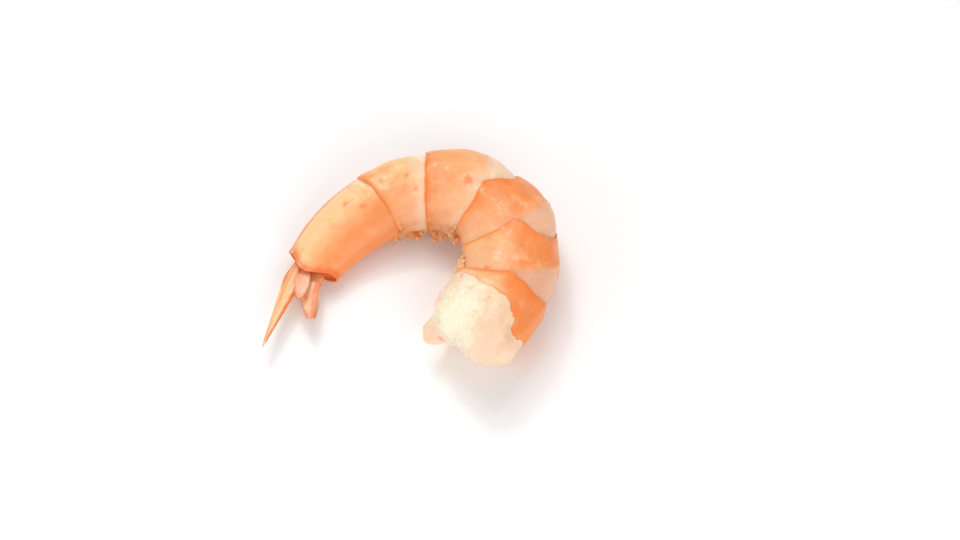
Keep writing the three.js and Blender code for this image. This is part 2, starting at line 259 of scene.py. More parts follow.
class ShapeTree:
    """A tree that shapes one piece, in millimetres, from the points of its carrier."""

    def __init__(self, name, around=None):
        self.tree = bpy.data.node_groups.new(name, "GeometryNodeTree")
        for socket, in_out in (("Rings", "INPUT"), ("Skin", "OUTPUT")):
            self.tree.interface.new_socket(socket, in_out=in_out,
                                           socket_type="NodeSocketGeometry")
        self.inputs = self.tree.nodes.new("NodeGroupInput")
        self.sockets = {}
        self.add_input("Material", None, "NodeSocketMaterial")
        if around:
            self.add_input("Around", around, "NodeSocketInt")
            self.start_grid()

    def add_input(self, name, value, kind="NodeSocketFloat"):
        socket = self.tree.interface.new_socket(name, in_out="INPUT", socket_type=kind)
        self.sockets[name] = (socket.identifier, value)
        return self.input(name)

    def input(self, name):
        return Field(self.tree, self.inputs.outputs[name])

    def node(self, kind, inputs=None, output=0, **settings):
        """The value that a new geometry node gives."""
        return value_of(self.tree, "GeometryNode" + kind, inputs, output, **settings)

    def shape(self, kind, inputs=None):
        """Passes the geometry through a new node."""
        self.geometry = self.node(kind, {"Geometry": self.geometry, **(inputs or {})})

    def start_grid(self):
        count = self.node("AttributeDomainSize", {"Geometry": self.input("Rings")},
                          "Point Count", component="MESH")
        self.geometry = self.node("MeshGrid", {
            "Size X": 1.0, "Size Y": 1.0,
            "Vertices X": count, "Vertices Y": self.input("Around") + 1})
        across, up, _ = split(self.node("InputPosition"))
        self.ring = ((across + 0.5) * (count - 1)).math("ROUND")
        self.round = (up + 0.5) * math.tau
        self.cos = self.round.cosine()
        self.sin = self.round.sine()
        self.off_back = self.off(0)

    def off(self, angle):
        """Degrees between this point and an angle round the section."""
        turned = (self.round * math.degrees(1) - angle).math("FLOORED_MODULO", 360)
        return 180 - (turned - 180).math("ABSOLUTE")

    def drum(self, radius, along):
        """A place on a drum round the body, at which noise is read."""
        return combined(self.tree, self.cos * radius, self.sin * radius, along)

    def named(self, name):
        """A named number of the geometry that is read."""
        return self.node("InputNamedAttribute", {"Name": name})

    def of_ring(self, name):
        """A named number of this point's ring."""
        return self.node("SampleIndex", {
            "Geometry": self.input("Rings"), "Index": self.ring, "Value": self.named(name)})

    def follow(self, s):
        """Finds the centreline at s: its place, its directions and its half sizes."""
        tree = self.tree
        line = self.node("ObjectInfo", {
            "Object": self.add_input("Centreline", centreline, "NodeSocketObject")}, "Geometry")
        curve = self.node("MeshToCurve", {"Mesh": line})
        samples = [add_node(tree, "GeometryNodeSampleCurve", {
            "Curves": curve, "Length": s + WALK_BEFORE, "Value": self.named(name)}, mode="LENGTH")
            for name in ("heading", "half_deep", "half_wide")]
        heading, self.half_deep, self.half_wide = (
            Field(tree, sample.outputs["Value"]) for sample in samples)
        self.centre = Field(tree, samples[0].outputs["Position"])
        cos, sin = heading.cosine(), heading.sine()
        self.tail = combined(tree, cos, sin, 0)
        self.back = combined(tree, sin, cos * -1, 0)
        self.right = combined(tree, 0, 0, 1)

    def section(self, scale, grow):
        """The point of the section, scaled and grown; the belly is a little narrower."""
        deep = self.half_deep * scale + grow
        wide = (self.half_wide * scale + grow) * (self.cos * BELLY_NARROWING + 1)
        return moved(self.centre, (self.back, deep * self.cos), (self.right, wide * self.sin))

    def keep(self, **values):
        """Stores numbers on the skin, for its material."""
        for name, value in values.items():
            self.shape("StoreNamedAttribute", {"Name": name, "Value": value})

    def move_to(self, place):
        """Moves the points to a place in millimetres, but none below the table."""
        resting = place.vector("MAXIMUM", (NO_LIMIT, NO_LIMIT, 0)).scaled(MM)
        self.shape("SetPosition", {"Position": resting})

    def close(self):
        """Joins the points that meet, along the seam and at the poles."""
        self.shape("MergeByDistance", {"Distance": MEETING * MM})

    def join(self, others):
        """Adds other geometry to the skin."""
        node = add_node(self.tree, "GeometryNodeJoinGeometry")
        for one in (self.geometry, *others):
            plug(self.tree, one, node.inputs[0])
        self.geometry = Field(self.tree, node.outputs[0])

    def planted(self, piece, place, towards, size, **others):
        """Sets a piece on each of the carrier's points, its height in a direction."""
        points = self.node("SetPosition", {"Geometry": self.input("Rings"), "Position": place})
        placed = self.node("InstanceOnPoints", {
            "Points": points, "Instance": piece, "Rotation": aligned(towards),
            "Scale": combined(self.tree, *size), **others})
        return self.node("RealizeInstances", {"Geometry": placed})

    def finish(self):
        """Makes all of it real and gives it its material."""
        self.shape("RealizeInstances")
        self.shape("SetShadeSmooth")
        self.shape("SetMaterial", {"Material": self.input("Material")})
        add_node(self.tree, "NodeGroupOutput", {"Skin": self.geometry})
        return self


# %% [markdown]
# A tree is put to use on a carrier object. Its inputs are set by their socket
# identifiers before the first evaluation. The evaluated result is copied into a
# plain mesh, so that no modifier is left, and the carrier goes away. Faces that
# came out inside out are turned, which the sign of the volume tells.

# %% From tree to plain piece
def volume_of(mesh):
    solid = bmesh.new()
    solid.from_mesh(mesh)
    volume = solid.calc_volume(signed=True)
    solid.free()
    return volume


def evaluated_piece(name, carrier, made, material, **values):
    modifier = carrier.modifiers.new(made.tree.name, "NODES")
    modifier.node_group = made.tree
    values["Material"] = material
    for key, (identifier, default) in made.sockets.items():
        modifier[identifier] = values.get(key, default)
    bpy.context.view_layer.update()
    graph = bpy.context.evaluated_depsgraph_get()
    mesh = bpy.data.meshes.new_from_object(carrier.evaluated_get(graph), depsgraph=graph)
    mesh.name = name
    bpy.data.objects.remove(carrier)
    volume = volume_of(mesh)
    mesh.calc_loop_triangles()
    print(f"{name}: {len(mesh.loop_triangles)} triangles, {abs(volume) * 1e6:.3f} cm3")
    if volume < 0:
        mesh.flip_normals()
    return new_object(name, mesh)


def carrier_of(name, rows, **usual):
    """A carrier with one point for each row of numbers; what a row leaves out is usual."""
    rows = [{**usual, **row} for row in rows]
    return mesh_with_values(name, [(0, 0, i) for i in range(len(rows))],
                            {key: [row[key] for row in rows] for key in rows[0]})


def place_piece(piece, node=None):
    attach(piece, "root")
    if node:
        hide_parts(node)


# %% [markdown]
# ## Colours
#
# A colour is written as it would be mixed on a screen, from 0 to 255, and turned
# into the linear numbers that light adds up in.

# %% Colour and material helpers
def painted(colour):
    """Red, green and blue as light adds them up; a colour already mixed stays."""
    if isinstance(colour, Field):
        return colour
    shares = [v / 255 for v in colour]
    linear = [v / 12.92 if v <= 0.04045 else ((v + 0.055) / 1.055) ** 2.4 for v in shares]
    return (*linear, 1.0)


def layered(colour, *layers):
    """A colour with others laid over it in turn, each with its share."""
    for over, share in layers:
        colour = value_of(share.tree, "ShaderNodeMix",
                          {0: share, 6: painted(colour), 7: painted(over)}, 2, data_type="RGBA")
    return colour


def new_material(name, **settings):
    """A material with a Principled shader, whose constant settings are on its own sockets."""
    material = bpy.data.materials.new(name)
    material.use_nodes = True
    shader = next(n for n in material.node_tree.nodes if n.type == "BSDF_PRINCIPLED")
    for key, value in settings.items():
        shader.inputs[key.replace("_", " ")].default_value = value
    return material, material.node_tree, shader


def dress(shader, colour, roughness, height, strength, depth):
    """Gives a shader its colour, its roughness, and bumps up to depth millimetres high."""
    normal = value_of(colour.tree, "ShaderNodeBump",
                      {"Height": height, "Strength": strength, "Distance": depth * MM})
    for name, value in (("Base Color", colour), ("Roughness", roughness), ("Normal", normal)):
        plug(colour.tree, value, shader.inputs[name])


def object_place(tree):
    """The place on the piece, in millimetres."""
    return value_of(tree, "ShaderNodeTexCoord", None, "Object").scaled(1 / MM)


def stored(tree, *names):
    """The numbers of these names that are stored on the skin."""
    return [value_of(tree, "ShaderNodeAttribute", None, "Fac", attribute_name=name)
            for name in names]


# %% [markdown]
# ## The flesh's finish
#
# Cooking turns the pigment under the shell orange. On each segment it is
# strongest along the rear edge and fades headward; the smooth wedge that the
# shell in front used to cover stays pale. Below the side line the flesh is
# pinker, and inside it is white, painted creamier where the cut end faces up
# towards the overhead light and more peach where it faces the back: partly its
# own tone, partly painted light and shade. All of this follows the body, so the
# colours are mixed from the distances that the tree stores on the skin, broken
# up by noise. Light enters the flesh and comes out again, which subsurface
# scattering gives, and its moist surface shines softly.

# %% Flesh material
EDGE_LIFT = 1e-4                 # a trace of lift marks the rim of the cut end


def flesh_material():
    material, tree, shader = new_material(
        "cooked_flesh", Subsurface_Weight=0.6, Subsurface_Scale=1.6 * MM, IOR=1.38,
        Subsurface_Radius=(1.0, 0.7, 0.5), Specular_IOR_Level=0.25,
        Coat_Weight=0.22, Coat_Roughness=0.14)
    place = object_place(tree)
    clouds, patches = noise(place, 0.15, 3.0), noise(place, 0.4, 4.0, 0.6)
    mottle, grain = noise(place, 1.1, 4.0, 0.65), noise(place, 3.4, 3.0, 0.6)
    off_back, headward, tailward, along, wedge, lift = stored(
        tree, "off_back", "headward", "tailward", "along", "wedge", "lift")
    pigment, golden, creamy, blots, cream, bruise = stored(
        tree, "pigment", "golden", "creamy", "blots", "cream", "bruise")
    streaks = noise(combined(tree, off_back * 0.55, along * 0.16, 0), 1.0, 3.0, 0.6)
    mixed_noise = patches + mottle

    edge = swell(headward.at_least(0), 4.2)
    uneven = ((patches - 0.5) * 1.3 + (clouds - 0.5) * 1.4
              + (mottle - 0.5) * 0.5 + (streaks - 0.5) * 0.5)
    below = rise(off_back, 70, 140)
    dorsal = fall(off_back + (mottle - 0.5) * 20, 28, 38)
    depth = (edge * 0.4 + 0.4 + dorsal * 0.5 + uneven) * pigment * (1 - below * 0.45)
    near_joint = fall(tailward + (mixed_noise - 1) * 3, 0.5, 5.0)
    torn_thin = fall(along, 0.5, 4.0) * rise(off_back, 45, 80) * rise(mixed_noise, 0.75, 1.15)
    in_wedge = rise(wedge + (mixed_noise - 1) * 2.5, -0.7, 0.8)
    pale = layered((232, 178, 147), ((254, 226, 194), creamy))
    rim = swell(headward - 0.2, 0.55) * rise(patches, 0.2, 0.5)
    on_skin = rise(lift, EDGE_LIFT, EDGE_LIFT / 2)
    crevice = (swell(tailward, 0.25) + swell(headward, 0.12)).at_most(1) * on_skin
    skin = layered(
        (251, 190, 140),
        ((245, 142, 74), depth),
        ((253, 212, 152), golden * rise(patches + clouds, 0.75, 1.15) * (1 - dorsal * 0.7)),
        ((251, 188, 146), below * (1 - edge) * 0.6),
        ((252, 212, 178), near_joint * creamy * 0.85),
        ((251, 208, 164), torn_thin * 0.85),
        (pale, in_wedge * (0.7 + mottle * 0.4)),
        ((242, 132, 66), rise(blots + (mottle - 0.5) * 1.4, 0.15, 1.1) * 0.75),
        ((240, 126, 58), rim * pigment.at_most(1) * 0.85),
        ((255, 140, 70), crevice * 0.7),
        ((236, 120, 54), rise(grain, 0.68, 0.76) * (1 - in_wedge) * 0.4))

    near_skin = fall(lift, 0.02, 0.55) * rise(patches, 0.3, 0.6)
    torn_film = fall(lift, 0.05, 0.75) * rise(mixed_noise, 1.05, 1.35)
    white = layered(
        (251, 212, 184),
        # partly painted light and shade: creamier where the cut end faces the light, more peach
        # where it faces away
        ((255, 241, 216), rise(cream + (patches - 0.5) * 1.6, -0.4, 0.6)),
        ((251, 208, 148), rise(clouds + mottle, 1.05, 1.26) * 0.4),
        ((250, 206, 166), near_skin * 0.6),
        ((246, 174, 108), torn_film * 0.6),
        ((240, 158, 128), rise(bruise, 0.3, 0.8) * 0.6))
    inside = rise(lift, EDGE_LIFT, 0.01)
    dress(shader, layered(skin, (white, inside)), 0.3 + grain * 0.18,
          grain * 0.25 + (mottle * 0.5 + streaks * 0.5) * (1 - inside * 0.6), 0.3, 0.3)
    return material


# %% [markdown]
# ## The peeled flesh
#
# A ring's numbers are made here: where it lies between the two joints of its
# segment, how the joint lines fold, how much the back is crowned. Few rings
# would do for a smooth tube, but the steps at the joints and the skin's edge
# need rings close together.

# %% Numbers for each ring of flesh
BACK_FOLDS = [1.5, 1.2, 3.2, 3.0, 0.2, -0.5]
BELLY_FOLDS = [-0.7, 1.8, 2.7, 1.4, 0, 0]
OF_JOINT = {"": JOINTS, "_back_fold": BACK_FOLDS, "_belly_fold": BELLY_FOLDS}
OF_SEGMENT = {
    "crown": [0, 0.8, 2.3, 2.6, 0.3],
    "reach": [0, 6.5, 4.3, 4.4, 3.3],              # of the pale wedge along the back
    "pigment": [1.3, 1.85, 1.9, 1.35, 1.1],
    "golden_back": [0.0, 0.1, 0.1, 0.35, 0.8],
    "golden_belly": [0.9, 0.6, 0.15, 0.0, 0.0],
    "creamy": [0.0, 0.05, 0.2, 0.7, 1.0],
}
PEELED = 5                       # segments; the sixth keeps its shell
CUT_END_RINGS = 120
RING_SPACING = 0.22
STUMP_SUNK = 1.4                 # shell step, shell wall and gap
STUMP_LENGTH = 2.6


def flesh_ring(segment, share, **others):
    ring = {"share": share, **others, **{n: v[segment] for n, v in OF_SEGMENT.items()}}
    for name, values in OF_JOINT.items():
        ring["front" + name], ring["rear" + name] = values[segment:segment + 2]
    return ring


lifts = [(1 - i / CUT_END_RINGS) * math.pi / 2 for i in range(CUT_END_RINGS)]
rings = [flesh_ring(0, 0.0, lift=lift) for lift in (*lifts, EDGE_LIFT)]
for segment, length in enumerate(SEGMENT_LENGTHS[:PEELED]):
    count = round(length / RING_SPACING)
    rings += [flesh_ring(segment, i / count) for i in range(count + 1)]
rings += [flesh_ring(PEELED - 1, 1.0, sunk=STUMP_SUNK, past=past, shrink=shrink)
          for past, shrink in ((0, 1), (0.9, 1), (1.8, 1), (STUMP_LENGTH, 1),
                               (STUMP_LENGTH, 0.5), (STUMP_LENGTH, 0))]
flesh_rings = carrier_of("flesh_rings", rings, lift=0, sunk=0, past=0, shrink=1)
print(f"flesh: {len(rings)} rings")

# %% [markdown]
# What can't be said with a formula alone is listed: the lobes and dents that the
# knife and the cooking left on the cut end, torn shreds, and spots of pigment.
# Each one is soft, so that none shows as an edge of its own.

# %% Forms and spots of the flesh
AROUND = 260
CUT_END_STEP = 0.25              # the white end lies this far inside the coloured skin
# Lobes and dents of the cut end: the direction they face (back, right side,
# headward), their height and their spread.
CUT_END_LOBES = [
    ((0.75, 0.35, 0.55), 2.4, 0.36),
    ((0.10, 0.75, 0.65), -0.8, 0.22),
    ((-0.55, 0.05, 0.85), -0.2, 0.30),
    ((0.30, -0.55, 0.80), -2.8, 0.30),
    ((-0.33, -0.18, 0.93), 2.6, 0.10),
    ((-0.46, -0.02, 0.89), 1.3, 0.09),
    ((-0.22, -0.24, 0.94), 1.1, 0.07),
    ((0.25, -0.25, 0.93), -1.0, 0.25),
    ((0.80, -0.35, 0.48), 0.9, 0.30),
    ((-0.36, 0.81, 0.45), 0.7, 0.20),
    ((0.10, 0.96, 0.26), -0.5, 0.07),
    ((-0.05, 0.90, 0.45), -0.4, 0.06),
    ((-0.35, 0.62, 0.70), -0.4, 0.07),
    ((0.71, 0.64, 0.31), 0.35, 0.09),
]
# Where the cut end is creamier: the direction it faces, the strength and the spread. It is
# painted creamier where it faces up towards the overhead light and more peach where it faces the
# back: partly the flesh's own tone, partly painted light and shade.
CREAM_AND_LIGHT_LOBES = [
    ((-0.36, 0.81, 0.45), 0.8, 0.32), ((-0.12, 0.57, 0.81), 0.6, 0.35),
    ((0.72, 0.64, 0.28), -0.7, 0.30), ((0.90, 0.10, 0.45), -0.6, 0.40),
    ((-0.38, -0.14, 0.92), -0.9, 0.16),
]
BRUISES = [((-0.67, 0.74, 0.10), 1.0, 0.05), ((-0.12, -0.06, 0.99), 0.8, 0.05)]
# Shreds and bulges of the belly: the segment, the share along it, the height.
BELLY_SHREDS = [(0, 0.6, 1.2), (1, 0.05, 1.6), (1, 0.35, 1.5), (1, 0.65, 1.1), (2, 0.95, 1.3),
                (3, 0.12, 1.6), (3, 0.62, 0.9), (3, 0.92, 1.5), (4, 0.88, 2.0)]
# Stronger spots of pigment: the place along the body, the degrees off the back,
# their size and their strength.
BLOTS = [(32.8, 91, 1.1, 1.5), (46.5, 84, 0.9, 0.8), (45.0, 108, 0.9, 0.7),
         (51.5, 75, 0.9, 0.8), (27.0, 63, 1.8, 0.7), (23.5, 54, 1.8, 0.6),
         (13.0, 36, 3.2, 0.8), (5.2, 111, 1.1, 0.8), (41.5, 125, 1.2, 0.6),
         (9.0, 60, 1.5, 0.5)]
BODY_RADIUS = 9.5                # turns degrees round the body into millimetres
# The skin's torn front edge: the angle, the half angle, how far it draws back.
SKIN_TEARS = [(62, 26, 2.2), (26, 12, -1.1)]
FRAYING = 1.6
# Slow waves of the surface, in two pairs: the direction and the start.
WAVES = [((0.55, 0, 0), 1.3), ((0, 0.49, 0), 0.4), ((0, 0.83, 0.71), 0), ((0.77, 0, -0.6), 0)]
# The relief: places and half widths in degrees, heights and lengths in millimetres.
FRONT_SUNK, REAR_PROUD, WEDGE_SUNK = 0.3, 0.22, 0.3
CREASE_AT, CREASE_HALF, CREASE_DEPTH = 72, 9, 0.25
GROOVE_HALF, GROOVE_DEPTH = 16, 0.8
SHRED_OFF_BELLY, SHRED_HALF, SHRED_LENGTH = 9, 13, 1.5


# %% Helpers for joints, lobes and spots
def folded(line, back_fold, belly_fold, off_back):
    """A joint's line at this angle off the back."""
    on_back = (off_back / SIDE_LINE).at_most(1) * math.pi
    below = ((off_back - SIDE_LINE) / (180 - SIDE_LINE)).at_least(0) * math.pi
    return line - back_fold * on_back.sine() - belly_fold * below.sine()


def lobes_of(facing, table):
    """The sum of soft lobes round the directions of a table."""
    def lobe(direction, height, spread):
        closeness = facing.vector("DOT_PRODUCT", tuple(Vector(direction).normalized())) - 1
        return (closeness / spread ** 2).math("EXPONENT") * height
    return sum(lobe(*row) for row in table)


def spots_of(s, off_back, radius, table):
    """The sum of soft spots round places on a body of this radius."""
    def spot(middle, angle, size, strength):
        across = (off_back - angle) * math.radians(radius)
        return swell(((s - middle) ** 2 + across ** 2).math("SQRT"), size) * strength
    return sum(spot(*row) for row in table)


# %% [markdown]
# The tree now forms the flesh. Joint lines fold headward between the back, side
# and belly lines. Each segment rises from under the one in front to a proud
# rear edge, with a sunk wedge behind its front joint. The cut end is a dome of
# uneven muscle lobes, and fibres run lengthwise through everything.

# %% The relief of a segment
def segment_relief(made, share, s):
    """How far the skin stands out, and how deep a point lies in its wedge."""
    off_back, reach = made.off_back, made.of_ring("reach")
    crown = made.of_ring("crown") * 2 * share ** 0.7 * (1 - share) * made.cos.at_least(0)
    risen = mixed(-FRONT_SUNK, 0, rise(share, 0, 0.35))
    edge = rise(share, 0.7, 0.97) * REAR_PROUD
    wedge = made.of_ring("front") + reach * (1 - off_back / SIDE_LINE) - s
    has_wedge = reach.math("GREATER_THAN", 0.1) * off_back.math("LESS_THAN", SIDE_LINE)
    in_wedge = rise(wedge, 0, 0.6) * has_wedge
    crease = swell(off_back - CREASE_AT, CREASE_HALF) * (share * math.pi).sine() * CREASE_DEPTH
    off_belly = 180 - off_back
    groove = swell(off_belly, GROOVE_HALF) * GROOVE_DEPTH
    relief = crown + risen + edge - in_wedge * WEDGE_SUNK - crease - groove
    shredded = rise(noise(made.drum(6, s * 0.9), 1.1, 3.0, 0.6), 0.45, 0.7)
    on_belly = swell(off_belly - SHRED_OFF_BELLY, SHRED_HALF)
    for segment, along, height in BELLY_SHREDS:
        middle = JOINTS[segment] + along * SEGMENT_LENGTHS[segment]
        relief = relief + swell(s - middle, SHRED_LENGTH) * on_belly * shredded * height
    return relief, mixed(-5, wedge, has_wedge)


# %% Geometry Nodes for the flesh
def flesh_tree():
    made = ShapeTree("Peeled body", AROUND)
    unevenness = made.add_input("Unevenness", 0.16)
    fibre_height = made.add_input("Fibre height", 0.14)
    waviness = made.add_input("Waviness of the joints", 1.5)
    raggedness = made.add_input("Raggedness of the skin's edge", 2.0)
    off_back, of_ring = made.off_back, made.of_ring
    lift, share, shrink = (of_ring(n) for n in ("lift", "share", "shrink"))

    def joint(end):
        line = of_ring(end)
        height = mixed(waviness, raggedness, line.math("LESS_THAN", 1))
        return (folded(line, of_ring(end + "_back_fold"), of_ring(end + "_belly_fold"), off_back)
                + wobble(made.drum(3, line * 0.7), 0.8, 4.0, 0.6) * height)

    front, rear = joint("front"), joint("rear")
    at_skin_edge = of_ring("front").math("LESS_THAN", 1)
    front = front + wobble(made.drum(8, 5), 0.8, 3.0, 0.6) * at_skin_edge * FRAYING
    front = sum((swell(made.off(angle), half_angle) * at_skin_edge * draw
                 for angle, half_angle, draw in SKIN_TEARS), front)
    s = mixed(mixed(front, rear, share) + of_ring("past"), -CUT_END_LENGTH, lift.sine())
    made.follow(s)

    relief, wedge = segment_relief(made, share, s)
    is_cut = lift.math("GREATER_THAN", EDGE_LIFT / 2)
    is_stump = of_ring("sunk").math("GREATER_THAN", 0.1)
    lift_cos, lift_sin = lift.cosine(), lift.sine()
    facing = combined(made.tree, made.cos * lift_cos, made.sin * lift_cos, lift_sin)
    scale = lift_cos ** 0.72 * shrink
    plain = made.section(scale, scale * is_cut * -CUT_END_STEP)
    waves = [(plain.vector("DOT_PRODUCT", along) + start).sine() for along, start in WAVES]
    uneven = (waves[0] * waves[1] + waves[2] * waves[3]) * unevenness

    lengthwise = combined(made.tree, made.half_deep * scale * made.cos,
                          made.half_wide * scale * made.sin, s * 0.14)
    fibres = wobble(lengthwise, 1.1, 3.0, 0.55, 0.3) * fibre_height
    lumps = wobble(plain, 0.26, 1.6, 0.5)
    clefts = swell(wobble(plain, 0.16, 2.0, 0.5, 0.6), 0.025)
    on_cut = lobes_of(facing, CUT_END_LOBES) + lumps * 2 - clefts * 0.06 + fibres * 2
    out = mixed(relief + lumps * 0.35, on_cut * rise(lift, 0, 0.3) + uneven, is_cut)
    out = mixed(out + uneven + fibres, of_ring("sunk") * -1, is_stump)
    out = out * shrink.math("GREATER_THAN", 0.9)
    along_back, along_right, along_head = (part * out for part in split(facing))
    place = moved(plain, (made.back, along_back), (made.right, along_right),
                  (made.tail, along_head * -1))

    golden = mixed(of_ring("golden_back"), of_ring("golden_belly"), rise(off_back, 70, 110))
    made.keep(pigment=of_ring("pigment"), creamy=of_ring("creamy"), golden=golden,
              off_back=off_back, along=s, tailward=s - front, headward=rear - s,
              wedge=wedge, lift=lift, blots=spots_of(s, off_back, BODY_RADIUS, BLOTS),
              cream=lobes_of(facing, CREAM_AND_LIGHT_LOBES), bruise=lobes_of(facing, BRUISES))
    made.move_to(place)
    made.close()
    return made.finish()


# %% Making the flesh
flesh_paint = flesh_material()
peeled_flesh = evaluated_piece("peeled_flesh", flesh_rings, flesh_tree(), flesh_paint)
place_piece(peeled_flesh, "flesh")

# %% [markdown]
# ## The tail shell
#
# The sixth segment keeps its shell. It is a sleeve that slips under the rear
# edge of the flesh, carries a low keel along its back, and ends in a thickened
# rim whose right side reaches back as a lobe. Inside the rim the flesh closes
# the sleeve, and the fan grows from it. The sleeve is again rings round the
# centreline, so the same class serves; its rings run from the mouth, over the
# outside and the rim, to the flesh inside it.

# %% Numbers for each ring of the shell
SHELL_STEP, SHELL_WALL = 0.12, 0.6
RIM_WALL, RIM_PROUD = 0.35, 0.1
TUCKED = 0.8                     # how far the sleeve slips under the flesh
LIP_ROUNDING = 0.2
OUTSIDE_RINGS = 100
LIP_RINGS = 6
INSIDE = -SHELL_STEP - SHELL_WALL

half_turn = [math.pi * i / LIP_RINGS for i in range(1, LIP_RINGS + 1)]
rings = [dict(depth=STUMP_LENGTH + TUCKED, grow=INSIDE * scale, scale=scale)
         for scale in (0, 0.5, 0.95, 1)]
rings += [dict(depth=depth, grow=INSIDE) for depth in (2.1, 1.4, 0.8, 0.3)]
rings += [dict(depth=-LIP_ROUNDING * math.sin(turn),
               grow=-SHELL_STEP - SHELL_WALL * (1 + math.cos(turn)) / 2)
          for turn in half_turn[:-1]]
rings += [dict(share=i / OUTSIDE_RINGS, outside=1) for i in range(OUTSIDE_RINGS + 1)]
rings += [dict(share=1, depth=LIP_ROUNDING * math.sin(turn) - RIM_PROUD * turn / math.pi,
               grow=mixed(RIM_PROUD, -RIM_WALL, (1 - math.cos(turn)) / 2))
          for turn in half_turn]
rings += [dict(share=1, grow=-RIM_WALL * scale, scale=scale, floor=1)
          for scale in (1, 0.6, 0.3, 0)]
shell_rings = carrier_of("shell_rings", rings,
                         share=0, depth=0, grow=0, scale=1, outside=0, floor=0)
print(f"tail shell: {len(rings)} rings")


# %% Geometry Nodes for the tail shell
SHELL_AROUND = 220
SHELL_BLOTS = [(60.0, 69, 0.9, 0.8), (57.2, 96, 1.2, 0.8), (62.5, 112, 1.0, 0.5),
               (67.0, 60, 0.8, 0.5)]
SHELL_RADIUS = 7.5
RIM_LOBE_AT, RIM_LOBE_HALF, KEEL_HALF = 88, 42, 10      # degrees


def shell_tree():
    made = ShapeTree("Tail shell", SHELL_AROUND)
    keel_height = made.add_input("Keel height", 0.5)
    side_lobe = made.add_input("Side lobe of the rim", 3.4)
    wave_height = made.add_input("Wave height", 0.25)
    share, depth, ring_grow, scale, outside, floor = (
        made.of_ring(n) for n in ("share", "depth", "grow", "scale", "outside", "floor"))
    off_back = made.off_back
    front = folded(JOINTS[PEELED] - TUCKED, BACK_FOLDS[PEELED], 0.0, off_back)
    ragged = wobble(made.drum(3, 9), 0.9, 3.0) * 0.5
    rim = (swell(made.off(RIM_LOBE_AT), RIM_LOBE_HALF) * side_lobe
           + (BODY_END - 0.2) + made.cos * 0.2 + ragged)
    closing = mixed(BODY_END - 0.3, rim - 0.35, scale ** 2)
    s = mixed(mixed(front, rim, share) + depth, closing, floor)
    made.follow(s)

    to_rim = rim - s
    sunk = mixed(SHELL_STEP, 0, rise(share, 0.04, 0.3))
    keel = swell(off_back, KEEL_HALF) * rise(share, 0.05, 0.3) * keel_height
    crown = (share * math.pi).sine() * made.cos.at_least(0) * 0.5
    proud = fall(to_rim, 0, 1.2) * RIM_PROUD
    dip = swell(to_rim - 1.5, 0.7) * 0.05
    waves = wobble(made.section(1, 0), 0.3, 2.0) * wave_height
    made.keep(off_back=off_back, along=s, to_rim=to_rim, tailward=s - front, outside=outside,
              blots=spots_of(s, off_back, SHELL_RADIUS, SHELL_BLOTS))
    grow = ring_grow + (crown + keel + proud - dip - sunk + waves) * outside
    made.move_to(made.section(scale, grow))
    made.close()
    return made.finish()


# %% [markdown]
# The shell is thin and a little see-through, so its colour is the pale flesh
# under it with orange pigment on top: most of it along the keel, and in a band
# at the rim and over its lip, but none in the pale wedge at the front of the
# back. It is smoother and glossier than flesh, with a crustacean's fine pits.

# %% Shell material
def shell_material():
    material, tree, shader = new_material(
        "cooked_shell", Subsurface_Weight=0.35, Subsurface_Scale=1.0 * MM, IOR=1.45,
        Subsurface_Radius=(1.0, 0.45, 0.25), Specular_IOR_Level=0.25,
        Coat_Weight=0.22, Coat_Roughness=0.16)
    place = object_place(tree)
    clouds, patches = noise(place, 0.2, 3.0), noise(place, 0.6, 4.0, 0.6)
    grain = noise(place, 3.0, 3.0, 0.6)
    off_back, to_rim, tailward, along, stored_blots, outside = stored(
        tree, "off_back", "to_rim", "tailward", "along", "blots", "outside")
    streaks = noise(combined(tree, off_back * 0.4, along * 0.12, 0), 1.0, 3.0, 0.6)
    uneven = (clouds - 0.5) * 1.2 + (patches - 0.5) * 0.8 + (streaks - 0.5) * 0.7
    wedge = rise(4.6 - tailward - off_back * 0.036 + (patches - 0.5) * 2.5, 0, 1.2)
    reach = 34 - (along - JOINTS[PEELED]) * 0.42
    keel = fall(off_back - reach + (patches - 0.5) * 12, -4, 5) * rise(tailward, 0.5, 2)
    band = swell((to_rim - 0.4).at_least(0), 1.1) * rise(patches, 0.2, 0.45)
    blots = rise(stored_blots + (patches - 0.5) * 1.5, 0.3, 0.9) * 0.6
    pigment = (keel * 0.85).at_least(blots) * outside
    colour = layered(
        (252, 208, 152),
        ((244, 152, 92), rise(off_back, 55, 125) + uneven * 0.5),
        ((243, 150, 86), rise(uneven, 0.05, 0.4) * 0.6),
        ((255, 229, 190), wedge * 0.85),
        ((247, 166, 108), fall(tailward, 0.7, 1.8) * 0.6),
        ((236, 124, 60), rise(grain, 0.66, 0.74) * 0.3),
        ((242, 150, 90), fall(outside, 0.3, 0.7) * 0.85),
        ((238, 120, 52), pigment.at_least(band) * 0.85))
    dress(shader, colour, 0.27 + grain * 0.14, grain * 0.6 + patches * 0.5 + streaks * 0.5,
          0.25, 0.25)
    return material


sixth_shell = evaluated_piece("sixth_segment_shell", shell_rings, shell_tree(), shell_material())
place_piece(sixth_shell, "tail_shell")

# %% [markdown]
# ## The blades of the tail fan
#
# A fan of thin blades ends the tail: the pointed telson in the middle, and on
# each side a short base that carries an outer and an inner blade. Each blade is
# a row of flat rings from its root to its tip, so one tree serves all seven. It
# reads the blade's outline from the carrier and its directions from its inputs,
# adds ribs that run to the tip, and sets a fringe of fine hairs along the edges.

# %% Where the fan starts
end_heading = math.radians(HEADINGS[-1])
end_tail = Vector((math.cos(end_heading), math.sin(end_heading), 0))
end_back = Vector((math.sin(end_heading), -math.cos(end_heading), 0))
end_x, end_y = (np.interp(BODY_END, walk_s, walk_plan[:, i]) for i in (0, 1))
fan_root = Vector((end_x, end_y, WIDTHS[-1] / 2 - SETTLED))


